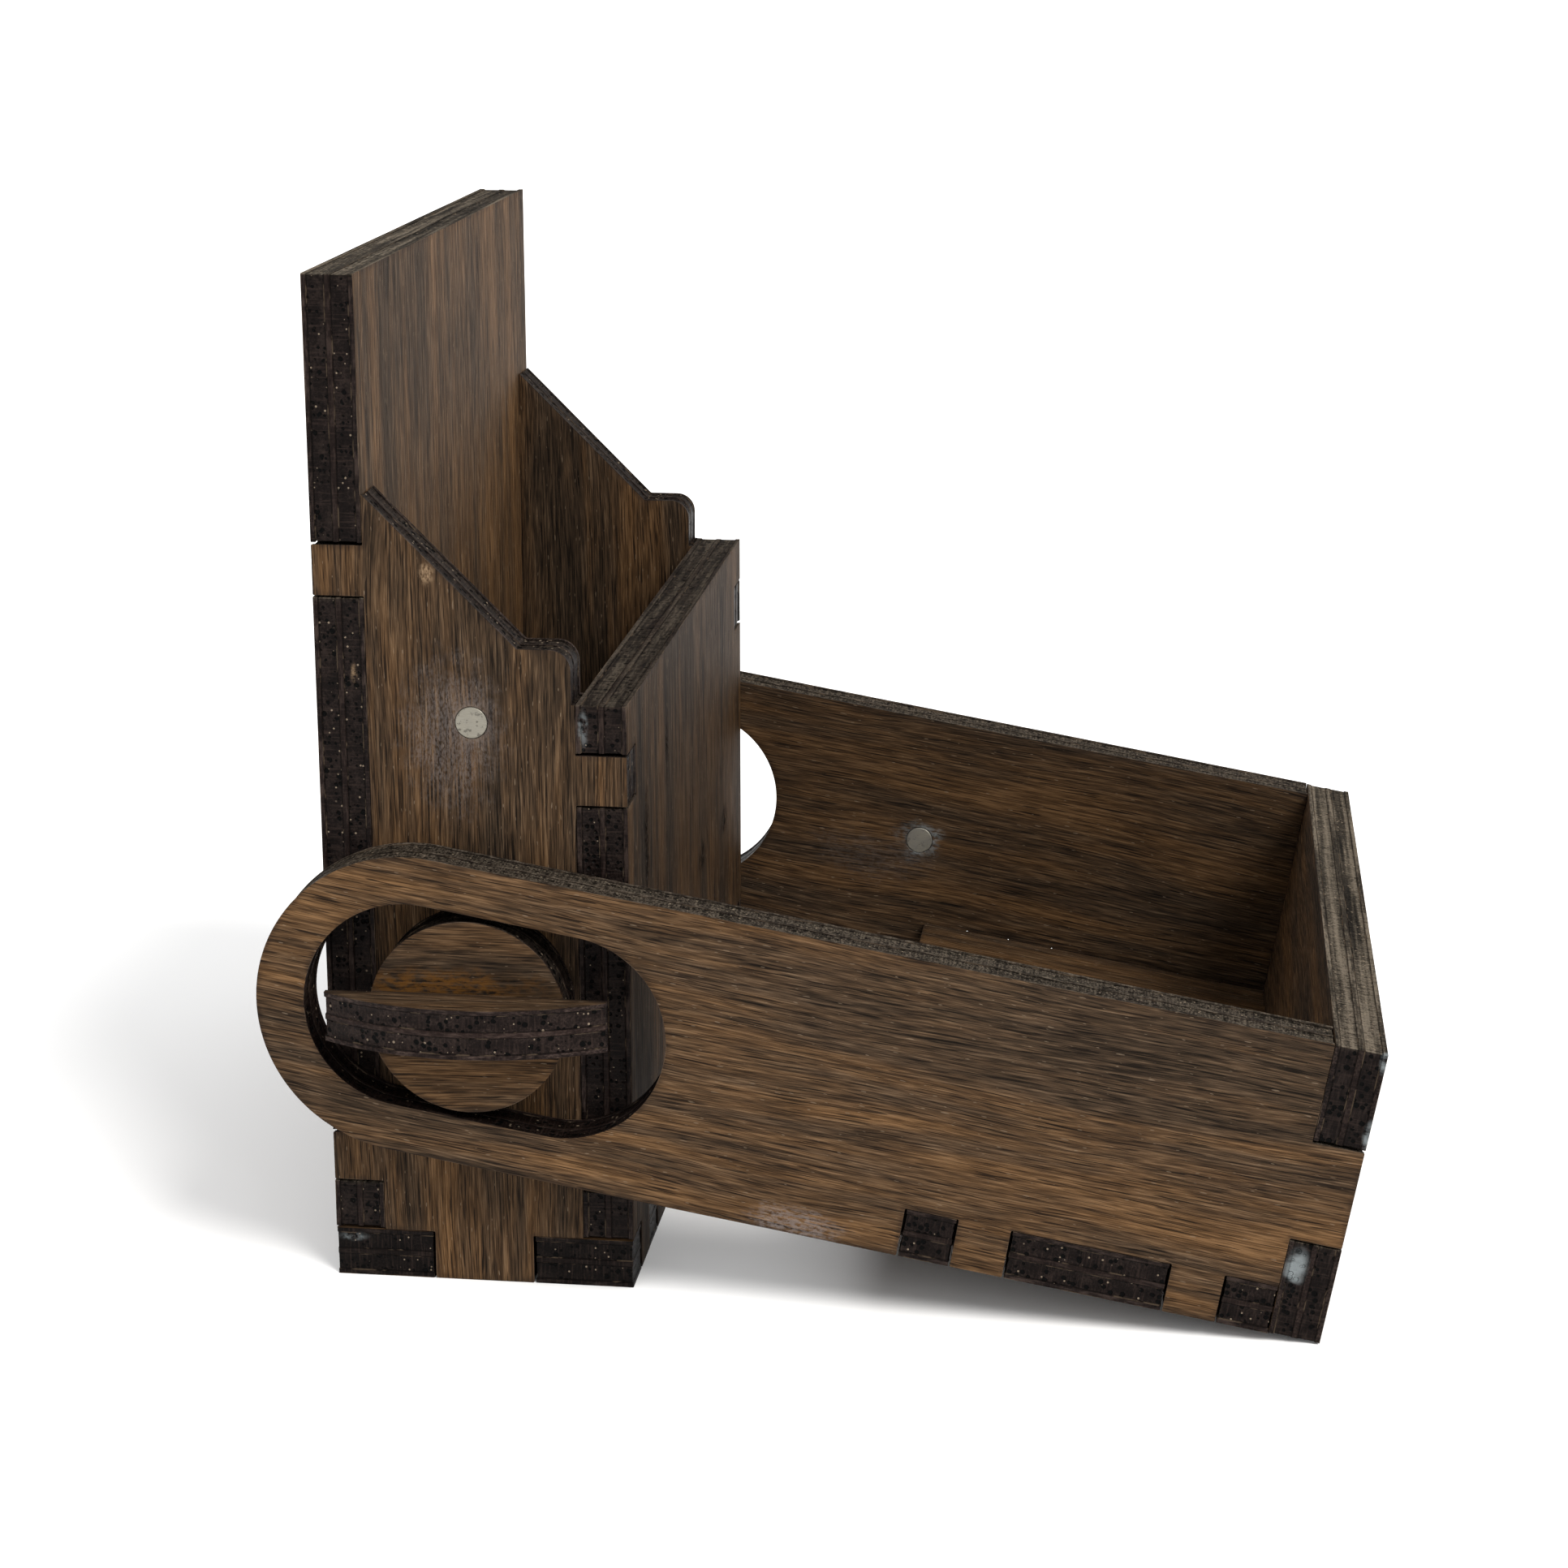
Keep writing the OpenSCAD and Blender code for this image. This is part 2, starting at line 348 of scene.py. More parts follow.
def board_shell(node, axes, seed):
    """The detailed mesh of a board, cut to the outline of its CAD node."""
    points, triangles = node_faces(node, axes)
    low, high = points[:, 2].min(), points[:, 2].max()
    thick = high - low
    bottom = [loop[::-1] for loop in flat_loops(points, triangles, low)]
    top = flat_loops(points, triangles, high)
    shell = Shell()
    bottom_rings, top_rings = [], []
    for k, loop in enumerate(top):
        outline = refined(loop)
        if runs_through(loop, bottom):
            first, last = cut_edge(shell, outline, low, thick, axes, seed + 10 * k)
            bottom_rings.append(first)
            top_rings.append(last)
        else:
            top_rings.append(pocket(shell, outline, high, points, -1))
    for loop in bottom:
        if not runs_through(loop, top):
            bottom_rings.append(pocket(shell, refined(loop), low, points, 1))
    face(shell, bottom_rings, low, False, seed)
    face(shell, top_rings, high, True, seed + 5)
    return shell, low


def pocket(shell, outline, level, points, way):
    """A blind round pocket, from the face at this level to its floor. Returns its rim.

    The way is 1 for a pocket that goes up from the lower face, and -1 for one that goes down.
    """
    middle = outline.mean(0)
    radius = np.linalg.norm(outline - middle, axis=1).max()
    near = np.linalg.norm(points[:, :2] - middle, axis=1) < radius * 1.05
    floor = points[near, 2].min() if way < 0 else points[near, 2].max()
    rings = []
    for share, size, cut in ((0, 1.048, 0.5), (0.03, 1, 1), (0.5, 1, 1), (0.97, 1, 1), (1, 0.952, 1)):
        ring = middle + (outline - middle) * size
        depth = level + (floor - level) * share
        rings.append(shell.add(np.column_stack([ring, np.full(len(ring), depth)]), cut, 1))
    in_order = rings if way > 0 else rings[::-1]
    for lower, upper in zip(in_order, in_order[1:]):
        shell.bridge(lower, upper)
    hub = shell.add([(middle[0], middle[1], floor)], 1, 1)[0]
    last = rings[-1]
    for a, b in zip(last, np.roll(last, -1)):
        shell.faces.append((int(a), int(b), int(hub)) if way > 0 else (int(b), int(a), int(hub)))
    return rings[0]


def object_from(name, shell, axes, low, material):
    """A mesh object from a shell in board axes, with the values that its material reads."""
    local = np.array(shell.points)
    mesh = bpy.data.meshes.new(name)
    mesh.from_pydata([tuple(p) for p in local @ axes], [], shell.faces)
    board = mesh.attributes.new("board", "FLOAT_VECTOR", "POINT")
    board.data.foreach_set("vector", (local - np.array([0, 0, low])).astype(np.float32).ravel())
    for label, values in shell.values.items():
        attribute = mesh.attributes.new(label, "FLOAT", "POINT")
        attribute.data.foreach_set("value", np.array(values, np.float32))
    mesh.validate()
    mesh.shade_smooth()
    mesh.set_sharp_from_angle(angle=math.radians(40))
    made = bpy.data.objects.new(name, mesh)
    bpy.context.scene.collection.objects.link(made)
    mesh.materials.append(material)
    return made


def lathe(shell, profile, middle, axis_sign, sides=64):
    """A closed round shell from a profile of (radius, depth), about the board's thickness axis."""
    angles = np.arange(sides) * 2 * math.pi / sides
    rings = []
    for radius, depth in profile:
        ring = np.column_stack([
            middle[0] + radius * np.cos(angles), middle[1] + radius * np.sin(angles),
            np.full(sides, middle[2] + axis_sign * depth)])
        rings.append(shell.add(ring, 1, 0))
    in_order = rings if axis_sign > 0 else rings[::-1]
    for lower, upper in zip(in_order, in_order[1:]):
        shell.bridge(lower, upper)
    for ring, depth, first in ((rings[0], profile[0][1], True), (rings[-1], profile[-1][1], False)):
        hub = int(shell.add([(middle[0], middle[1], middle[2] + axis_sign * depth)], 1, 0)[0])
        for a, b in zip(ring, np.roll(ring, -1)):
            turned = first == (axis_sign > 0)
            shell.faces.append((int(b), int(a), hub) if turned else (int(a), int(b), hub))


# ---------------------------------------------------------------- materials

# First input and the output of a Mix node for each kind of value
MIX_SOCKETS = {"FLOAT": (2, 0), "VECTOR": (4, 1), "RGBA": (6, 2)}


class Graph:
    """Short names for the shader nodes of one material. Lengths are in mm."""

    def __init__(self, name):
        self.material = bpy.data.materials.new(name)
        self.material.use_nodes = True
        self.tree = self.material.node_tree
        self.shader = self.tree.nodes["Principled BSDF"]

    def put(self, socket, value):
        if isinstance(value, bpy.types.NodeSocket):
            self.tree.links.new(value, socket)
        elif socket.type == "RGBA":
            socket.default_value = (*value[:3], 1)
        else:
            socket.default_value = value

    def node(self, kind, settings=None, **inputs):
        made = self.tree.nodes.new(kind)
        for key, value in (settings or {}).items():
            setattr(made, key, value)
        for key, value in inputs.items():
            self.put(made.inputs[key.replace("_", " ")], value)
        return made

    def attribute(self, name, output):
        return self.node("ShaderNodeAttribute", {"attribute_name": name}).outputs[output]

    def board_point(self, seed):
        """The point in board axes, in mm, and the same point shifted to a piece of wood of its own."""
        plain = self.vector("MULTIPLY", self.attribute("board", "Vector"), (1000.0, 1000.0, 1000.0))
        return plain, self.vector("ADD", plain, (seed * 31.7, seed * 12.9, 0.0))

    def math(self, operation, a, b=0.0, clamp=False):
        made = self.node("ShaderNodeMath", {"operation": operation, "use_clamp": clamp})
        self.put(made.inputs[0], a)
        self.put(made.inputs[1], b)
        return made.outputs[0]

    def product(self, *values):
        total = values[0]
        for value in values[1:]:
            total = self.math("MULTIPLY", total, value)
        return total

    def weighted(self, *pairs, plus=0.0):
        """Sum of value times weight, plus a constant."""
        total = plus
        for value, weight in pairs:
            total = self.math("ADD", self.math("MULTIPLY", value, weight), total)
        return total

    def vector(self, operation, a, b=(0.0, 0.0, 0.0)):
        made = self.node("ShaderNodeVectorMath", {"operation": operation})
        self.put(made.inputs[0], a)
        self.put(made.inputs[1], b)
        return made.outputs["Value" if operation == "LENGTH" else "Vector"]

    def noise(self, at, stretch, detail=2.0, roughness=0.5):
        """Noise whose cells are stretched: stretch is in cells per mm along each board axis."""
        made = self.node("ShaderNodeTexNoise", Vector=self.vector("MULTIPLY", at, stretch),
                         Scale=1.0, Detail=detail, Roughness=roughness)
        return made.outputs["Fac"]

    def dots(self, at, per_mm, radius, share):
        """Round dots with a crisp edge, one in some of the cells of a scattered net."""
        cells = self.node("ShaderNodeTexVoronoi", {"feature": "F1"}, Vector=at, Scale=per_mm)
        lucky = self.node("ShaderNodeSeparateColor", Color=cells.outputs["Color"]).outputs
        size = self.math("MULTIPLY", self.math("ADD", lucky[1], 0.5), radius * per_mm)
        near = self.math("DIVIDE", cells.outputs["Distance"], size)
        return self.product(self.step(near, 1.15, 0.8), self.step(lucky[0], 1 - share, 1.02 - share))

    def step(self, value, low, high):
        """0 below low, 1 above high, smooth between. Swapped limits turn it round."""
        made = self.node("ShaderNodeMapRange", {"interpolation_type": "SMOOTHSTEP"})
        ends = (min(low, high), max(low, high), float(low > high), float(low < high))
        for place, number in enumerate((value, *ends)):
            self.put(made.inputs[place], number)
        return made.outputs[0]

    def mix(self, share, a, b, kind="RGBA"):
        first, result = MIX_SOCKETS[kind]
        made = self.node("ShaderNodeMix", {"data_type": kind})
        for place, value in ((0, share), (first, a), (first + 1, b)):
            self.put(made.inputs[place], value)
        return made.outputs[result]

    def ramp(self, value, stops, tone=1.0):
        made = self.node("ShaderNodeValToRGB", Fac=value)
        elements = made.color_ramp.elements
        while len(elements) < len(stops):
            elements.new(0.5)
        for element, (place, colour) in zip(elements, stops):
            element.position = place
            element.color = (*scaled(colour, tone), 1)
        return made.outputs["Color"]


# Walnut stain from its darkest fibres to its palest, where it lies thin and where it lies thick
WARM_STAIN = ((0.405, (0.0088, 0.0046, 0.0025)), (0.46, (0.030, 0.0155, 0.0068)),
              (0.515, (0.060, 0.0310, 0.0128)), (0.595, (0.128, 0.070, 0.0315)))
COOL_STAIN = ((0.405, (0.0066, 0.0044, 0.0029)), (0.46, (0.0225, 0.0145, 0.0088)),
              (0.515, (0.0455, 0.0285, 0.0168)), (0.595, (0.100, 0.068, 0.042)))
# Laser char from its deepest to its thinnest, and the same on cut edges that face up, lighter and greyer:
# partly rubbed by hands and dust, partly painted light from above
CHAR = ((0.38, (0.0018, 0.0010, 0.0009)), (0.5, (0.0080, 0.0050, 0.0043)), (0.62, (0.030, 0.0205, 0.0170)))
RUBBED_AND_TOP_LIT = ((0.41, (0.008, 0.0068, 0.0055)), (0.5, (0.042, 0.0345, 0.0255)), (0.59, (0.140, 0.115, 0.086)))

DARK_PORE = (0.004, 0.0026, 0.0018)
SMOKE = (0.011, 0.007, 0.0055)
PALE_FLECK = (0.17, 0.125, 0.085)
WORN_ARRIS = (0.12, 0.083, 0.055)
CROSS_PLY = (0.0030, 0.0018, 0.0015)
CORE_PLY = (0.0105, 0.0058, 0.0046)
LASER_LINE = (0.028, 0.0180, 0.0145)
BLACK_PORE = (0.0004, 0.0004, 0.0004)
DARK_GLUE = (0.002, 0.0012, 0.001)
PALE_GLUE = (0.072, 0.051, 0.034)
PALE_SPECK = (0.18, 0.14, 0.10)

# Tints of the spots: glue haze, dried glue that also tints painted glints, bare wood, painted orange glow
# of bounced light, and painted shade in a crack or dent
HAZE = (0.185, 0.16, 0.153)
GLUE_AND_GLINT = (0.17, 0.19, 0.195)
BARE = (0.21, 0.14, 0.083)
# painted orange glow of bounced light
ORANGE_BOUNCE_GLOW = (0.085, 0.036, 0.007)
# painted shade in cracks and dents
CRACK_SHADE = (0.004, 0.003, 0.0025)

NICKEL = ((0.3, (0.175, 0.16, 0.128)), (0.7, (0.25, 0.235, 0.193)))
STAINED_NICKEL = (0.065, 0.058, 0.047)
HAZED_NICKEL = (0.18, 0.17, 0.15)
FLOOR_WHITE = ((0.3, (0.95, 0.95, 0.95)), (0.7, (0.97, 0.97, 0.97)))


def scaled(colour, factor):
    return tuple(part * factor for part in colour)


def veneer_colour(g, at, tone, cracks):
    """Stained veneer: bands, patches, streaks and fibres along the grain, dark pores, and cracks."""
    sway = g.math("MULTIPLY", g.math("SUBTRACT", g.noise(at, (0.014, 0.05, 0.05)), 0.5), 5.0)
    grain = g.vector("ADD", at, g.node("ShaderNodeCombineXYZ", Y=sway).outputs[0])
    bands = g.noise(grain, (0.009, 0.16, 0.1), 4.0, 0.6)
    patches = g.noise(grain, (0.05, 0.42, 0.3), 3.0, 0.6)
    streaks = g.noise(grain, (0.09, 2.1, 0.9), 3.0, 0.55)
    fibres = g.noise(grain, (0.2, 5.2, 2.5), 3.0, 0.6)
    threads = g.noise(grain, (0.45, 11.0, 5.0), 2.0, 0.6)
    value = g.weighted((bands, 0.20), (patches, 0.08), (streaks, 0.20), (fibres, 0.32), (threads, 0.20))
    warmth = g.step(g.weighted((bands, 0.65), (patches, 0.35)), 0.38, 0.62)
    colour = g.mix(warmth, g.ramp(value, COOL_STAIN, tone), g.ramp(value, WARM_STAIN, tone))
    pores = g.step(g.noise(grain, (0.17, 5.5, 3.0), 1.0, 0.5), 0.615, 0.665)
    splits = g.step(g.noise(grain, (0.05, 0.9, 0.5), 2.0, 0.5), 0.64, 0.67)
    gaps = g.math("ADD", g.math("MULTIPLY", pores, 0.8), g.math("MULTIPLY", splits, cracks), clamp=True)
    relief = g.weighted((streaks, 0.6), (fibres, 0.6), (gaps, -0.9))
    return g.mix(gaps, colour, DARK_PORE), value, relief


def inside_plies(g, depth, first, last):
    """1 between two depths, 0 outside them."""
    return g.product(g.step(depth, first - 0.03, first + 0.03), g.step(depth, last + 0.03, last - 0.03))


def char_colour(g, at, worn, tone, banding):
    """Laser-cut edge: dark plies, broken glue lines, black pores, pale specks and fine striations."""
    parts = g.node("ShaderNodeSeparateXYZ", Vector=at).outputs
    depth = parts["Z"]
    cross = g.math("ADD", inside_plies(g, depth, PLY_JOINTS[0], PLY_JOINTS[1]),
                   inside_plies(g, depth, PLY_JOINTS[2], PLY_JOINTS[3]), clamp=True)
    core = inside_plies(g, depth, PLY_JOINTS[1], PLY_JOINTS[2])
    turned = g.node("ShaderNodeCombineXYZ", X=parts["Y"], Y=parts["X"], Z=depth).outputs[0]
    wood = g.mix(cross, at, turned, "VECTOR")
    cloud = g.noise(at, (0.35, 0.35, 0.8), 3.0)
    fine = g.noise(wood, (0.9, 4.5, 4.5), 3.0, 0.65)
    striae = g.noise(at, (5.0, 5.0, 0.3), 3.0, 0.65)
    stripes = g.noise(at, (0.05, 0.05, 1.7), 2.0)
    colour = g.ramp(g.weighted((cloud, 0.45), (fine, 0.55)), CHAR, tone)
    colour = g.mix(g.math("MULTIPLY", cross, 0.6), colour, scaled(CROSS_PLY, tone))
    colour = g.mix(g.math("MULTIPLY", core, 0.35), colour, scaled(CORE_PLY, tone))
    colour = g.mix(g.math("MULTIPLY", g.step(striae, 0.50, 0.68), 0.4), colour, LASER_LINE)
    # Upward-facing edges turn lighter and greyer: partly rubbing, partly painted light from above
    rubbed = g.ramp(g.weighted((stripes, banding), (striae, 0.26), (fine, 0.74 - banding)), RUBBED_AND_TOP_LIT)
    colour = g.mix(worn, colour, rubbed)
    pores = g.product(g.dots(at, 1.8, 0.20, 0.5), cross, g.weighted((worn, -0.7), plus=1.0))
    colour = g.mix(pores, colour, BLACK_PORE)
    lines = 0.0
    for joint in PLY_JOINTS:
        away = g.math("ABSOLUTE", g.math("SUBTRACT", depth, joint))
        lines = g.math("ADD", g.step(away, 0.085, 0.03), lines)
    broken = g.step(g.noise(at, (0.45, 0.45, 1.2), 3.0, 0.6), 0.52, 0.62)
    pale_lines = g.product(lines, broken)
    colour = g.mix(g.math("MULTIPLY", lines, 0.6), colour, DARK_GLUE)
    colour = g.mix(g.math("MULTIPLY", pale_lines, 0.75), colour, PALE_GLUE)
    specks = g.product(g.dots(g.vector("ADD", at, (3.3, 1.1, 0.4)), 2.3, 0.09, 0.2), cross)
    colour = g.mix(g.math("MULTIPLY", specks, 0.85), colour, PALE_SPECK)
    return colour, pores, striae, lines, fine


def spot_share(g, at, middle, radii, strength, scale):
    """How strongly a spot shows: soft-edged and broken up by noise."""
    distance = g.vector("LENGTH", g.vector("DIVIDE", g.vector("SUBTRACT", at, middle), radii))
    wobble = g.noise(at, (scale * 0.3, scale * 0.3, scale * 0.3))
    ragged = g.weighted((distance, 1.0), (wobble, 1.1), plus=-0.55)
    grainy = g.step(g.noise(at, (scale, scale * 2.2, scale), 3.0, 0.65), 0.36, 0.62)
    return g.product(g.step(ragged, 1.0, 0.25), grainy, strength)


def wood_material(name, seed, tone=1.0, char=1.0, rubbed=0.85, banding=0.44, cracks=0.0, spots=()):
    """Plywood: stained veneer on the faces, charred plies on the cut edges, wear on the arrises, and
    painted light from above on the upward-facing cut edges.
    """
    g = Graph(name)
    plain, at = g.board_point(seed)
    cut = g.attribute("cut", "Fac")
    rim = g.attribute("rim", "Fac")
    upward = g.attribute("upward", "Fac")
    # worn: share of that lighter edge colour, set by how far an edge faces up; partly rubbing, partly
    # painted light from above
    worn = g.math("MULTIPLY", upward, rubbed)
    veneer, value, relief = veneer_colour(g, at, tone, cracks)
    edge_colour, pores, striae, lines, fine = char_colour(g, at, worn, char, banding)
    smoke = g.product(g.step(rim, 0.3, 1.0), g.step(g.noise(at, (0.5, 0.5, 0.5), 3.0), 0.38, 0.65), 0.45)
    veneer = g.mix(smoke, veneer, SMOKE)
    flecks = g.step(g.noise(at, (0.9, 5.0, 3.0), 1.0, 0.3), 0.735, 0.76)
    veneer = g.mix(g.math("MULTIPLY", flecks, 0.5), veneer, PALE_FLECK)
    edge = g.step(g.weighted((cut, 1.0), (fine, 0.5), plus=-0.25), 0.35, 0.75)
    colour = g.mix(edge, veneer, edge_colour)
    arris = g.product(g.step(cut, 0.15, 0.6), g.step(cut, 0.98, 0.75))
    bare = g.product(arris, g.step(g.noise(at, (0.22, 0.22, 0.22), 3.0, 0.6), 0.50, 0.64), 0.6)
    colour = g.mix(bare, colour, WORN_ARRIS)
    face_gloss = 0.06
    for middle, radii, tint, strength, scale in spots:
        share = spot_share(g, plain, middle, radii, strength, scale)
        colour = g.mix(share, colour, tint)
        # Cracks and dents: painted shade in their hollows, a lowered bump and no gloss
        if tint == CRACK_SHADE:
            relief = g.weighted((relief, 1.0), (share, -3.0))
            face_gloss = g.mix(share, face_gloss, 0.0, "FLOAT")
    g.put(g.shader.inputs["Base Color"], colour)
    dull = g.weighted((value, -0.9), plus=1.12)
    glossy = g.weighted((fine, 0.4), (pores, 0.2), (upward, 0.3), plus=0.24)
    g.put(g.shader.inputs["Roughness"], g.mix(edge, dull, glossy, "FLOAT"))
    edge_gloss = g.weighted((upward, -0.045), plus=0.055)
    g.put(g.shader.inputs["Specular IOR Level"], g.mix(edge, face_gloss, edge_gloss, "FLOAT"))
    edge_height = g.weighted((striae, 1.0), (fine, 1.2), (pores, -3.2), (lines, -1.2))
    bump = g.node("ShaderNodeBump", Strength=1.0, Distance=0.05 * MM,
                  Height=g.mix(edge, relief, edge_height, "FLOAT"))
    g.put(g.shader.inputs["Normal"], bump.outputs[0])
    return g.material


def nickel_material(name, seed, haze):
    """Nickel plate of a small magnet: fine scratches, dull spots and glue haze."""
    g = Graph(name)
    _, at = g.board_point(seed)
    scratches = g.noise(at, (0.8, 16.0, 3.0), 3.0, 0.7)
    stains = g.step(g.noise(at, (1.9, 1.9, 1.9), 3.0, 0.6), 0.55, 0.66)
    clouds = g.step(g.noise(at, (1.1, 1.1, 1.1), 3.0), 0.35, 0.6)
    colour = g.ramp(scratches, NICKEL)
    colour = g.mix(g.math("MULTIPLY", stains, 0.7), colour, STAINED_NICKEL)
    colour = g.mix(g.math("MULTIPLY", clouds, haze), colour, HAZED_NICKEL)
    g.put(g.shader.inputs["Base Color"], colour)
    g.put(g.shader.inputs["Roughness"], g.weighted((stains, 0.25), plus=0.42))
    g.shader.inputs["Metallic"].default_value = 0.6
    bump = g.node("ShaderNodeBump", Strength=0.6, Distance=0.01 * MM, Height=scratches)
    g.put(g.shader.inputs["Normal"], bump.outputs[0])
    return g.material


def floor_material():
    """Plain pale matt floor with a very faint mottle."""
    g = Graph("pale_floor")
    at = g.node("ShaderNodeTexCoord").outputs["Object"]
    mottle = g.noise(at, (9.0, 9.0, 9.0), 3.0)
    g.put(g.shader.inputs["Base Color"], g.ramp(mottle, FLOOR_WHITE))
    g.shader.inputs["Roughness"].default_value = 0.9
    g.shader.inputs["Specular IOR Level"].default_value = 0.1
    return g.material


# ---------------------------------------------------------------- the object

BOX_SIDE = board_axes(Z, Y)
BOX_WALL = board_axes(Z, X)
FLAT = board_axes(X, Z)
DISC = board_axes(X, Y)
TRAY_SIDE = board_axes(ALONG_TRAY, Y)
TRAY_FLOOR = board_axes(ALONG_TRAY, ACROSS_TRAY)
TRAY_END = board_axes(Y, ALONG_TRAY)


def middle_of(node):
    low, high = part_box(node)
    return (low + high) / 2


def in_board(point, node, axes):
    """A point in mm in the axes of the board's material, whose depth counts from its lower face."""
    points = np.array([v.co for v in frame["nodes"][node].data.vertices]) @ axes.T
    local = axes @ np.array(point)
    return tuple((local - np.array([0, 0, points[:, 2].min()])) / MM)


def spot(node, axes, point, radii, tint, strength, scale):
    """One spot on a board, at a point of the frame, with radii along the board's axes in mm."""
    return in_board(point, node, axes), radii, tint, strength, scale


def build_board(node, body, slot, axes, seed, **look):
    """Replaces a CAD board with its detailed mesh. The look is passed on to its material."""
    shell, low = board_shell(node, axes, seed)
    material = wood_material(node + "_wood", seed, **look)
    made = object_from(node + "_board", shell, axes, low, material)
    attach(made, body)
    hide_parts(node)
    return made


def near_box_side_spots():
    """Haze round the magnet, spreading to its left and below it, and a chip by the slope."""
    node = "box_side_near"
    magnet = middle_of("box_magnet_near")
    surface = Vector((magnet.x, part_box(node)[0].y, magnet.z))
    wide = surface + Vector((-1.8, 0, -1.2)) * MM
    chip = surface + Vector((-3.8, 0, 13.9)) * MM
    return (
        spot(node, BOX_SIDE, wide, (9.5, 6.0, 2.0), HAZE, 0.25, 2.4),
        spot(node, BOX_SIDE, surface, (4.2, 3.6, 2.0), HAZE, 0.16, 3.0),
        spot(node, BOX_SIDE, chip, (1.3, 0.9, 1.0), BARE, 0.9, 2.0),
    )


def tray_side_spots(side):
    """Haze where the magnet was glued in, on the inner face, and a rubbed patch on the lower edge."""
    node = "tray_side_" + side
    magnet = middle_of("tray_magnet_" + side)
    low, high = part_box(node)
    inner, outer = (high.y, low.y) if side == "near" else (low.y, high.y)
    surface = Vector((magnet.x, inner, magnet.z))
    wide = surface - ALONG_TRAY * 5 * MM - ACROSS_TRAY * 3 * MM
    patch = Vector((magnet.x, outer, magnet.z)) - ALONG_TRAY * 2.5 * MM - ACROSS_TRAY * 13.3 * MM
    return (
        spot(node, TRAY_SIDE, surface, (3.1, 2.8, 1.5), GLUE_AND_GLINT, 0.75, 1.4),
        spot(node, TRAY_SIDE, wide, (9.0, 4.0, 1.5), HAZE, 0.10, 1.2),
        spot(node, TRAY_SIDE, patch, (6.0, 2.0, 1.2), HAZE, 0.5, 1.6),
    )


def tray_end_spots():
    """Glue squeezed out on the near fingers of the end panel; the two upper spots are painted glints of
    light in the glue tint.
    """
    node = "tray_end_panel"
    low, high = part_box(node)
    foot = Vector((low.x, low.y, low.z)) + ALONG_TRAY * 1.0 * MM + ACROSS_TRAY * 7.8 * MM
    # top and below: painted glints of light, in the glue tint
    top = Vector((high.x, low.y, high.z)) - ACROSS_TRAY * 1.4 * MM
    below = top - ACROSS_TRAY * 7.6 * MM
    return (
        spot(node, TRAY_END, foot, (1.6, 2.6, 1.3), GLUE_AND_GLINT, 0.9, 0.3),
        spot(node, TRAY_END, top, (0.8, 1.5, 0.6), GLUE_AND_GLINT, 0.9, 0.5),
        spot(node, TRAY_END, below, (0.8, 1.8, 0.6), GLUE_AND_GLINT, 0.8, 0.5),
    )


def disc_spots(side):
    """Painted orange glow of bounced light just above the bar."""
    node = "pivot_disc_" + side
    low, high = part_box(node)
    outer = low.y if side == "near" else high.y
    # Painted orange glow of bounced light on the disc's outer face, just above the bar
    above = Vector((PIVOT.x - 1.5 * MM, outer, PIVOT.z + 2.6 * MM))
    return (spot(node, DISC, above, (11.0, 3.0, 1.0), ORANGE_BOUNCE_GLOW, 0.85, 0.8),)


def bottom_panel_spots():
    """A smear of glue on the back finger of the near edge."""
    node = "box_bottom_panel"
    low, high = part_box(node)
    smear = Vector((low.x + 1.7 * MM, low.y, high.z - 0.9 * MM))
    return (spot(node, FLAT, smear, (1.9, 1.0, 0.7), GLUE_AND_GLINT, 0.6, 1.0),)


def back_panel_spots():
    """A torn splinter on the near edge."""
    node = "box_back_panel"
    low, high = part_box(node)
    splinter = Vector((high.x - 1.2 * MM, low.y, high.z * 0.62))
    return (spot(node, BOX_WALL, splinter, (1.6, 0.6, 0.5), BARE, 0.9, 1.4),)


def front_panel_spots():
    """Painted glints of light on glue at the inner side of its upper near finger, and a crack, a hair
    crack and two dents darkened with painted shade.
    """
    node = "box_front_panel"
    low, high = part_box(node)
    # A painted glint of light, in the glue tint
    painted_glint = Vector((low.x + 0.7 * MM, low.y, high.z - 2.5 * MM))
    crack = Vector((high.x, low.y + 10.6 * MM, 0.72 * high.z))
    hair = Vector((high.x, low.y + 23.4 * MM, 0.82 * high.z))
    far_dent = Vector((high.x, high.y - 14.6 * MM, 0.495 * high.z))
    middle_dent = Vector((high.x, high.y - 31.3 * MM, 0.50 * high.z))
    return (
        spot(node, BOX_WALL, painted_glint, (2.2, 0.5, 0.6), GLUE_AND_GLINT, 0.45, 1.6),
        spot(node, BOX_WALL, crack, (8.0, 1.7, 0.8), CRACK_SHADE, 1.0, 1.5),
        spot(node, BOX_WALL, hair, (4.0, 1.2, 0.8), CRACK_SHADE, 1.0, 1.5),
        spot(node, BOX_WALL, far_dent, (2.4, 4.0, 0.8), CRACK_SHADE, 1.0, 0.8),
        spot(node, BOX_WALL, middle_dent, (2.2, 3.4, 0.8), CRACK_SHADE, 1.0, 0.8),
    )


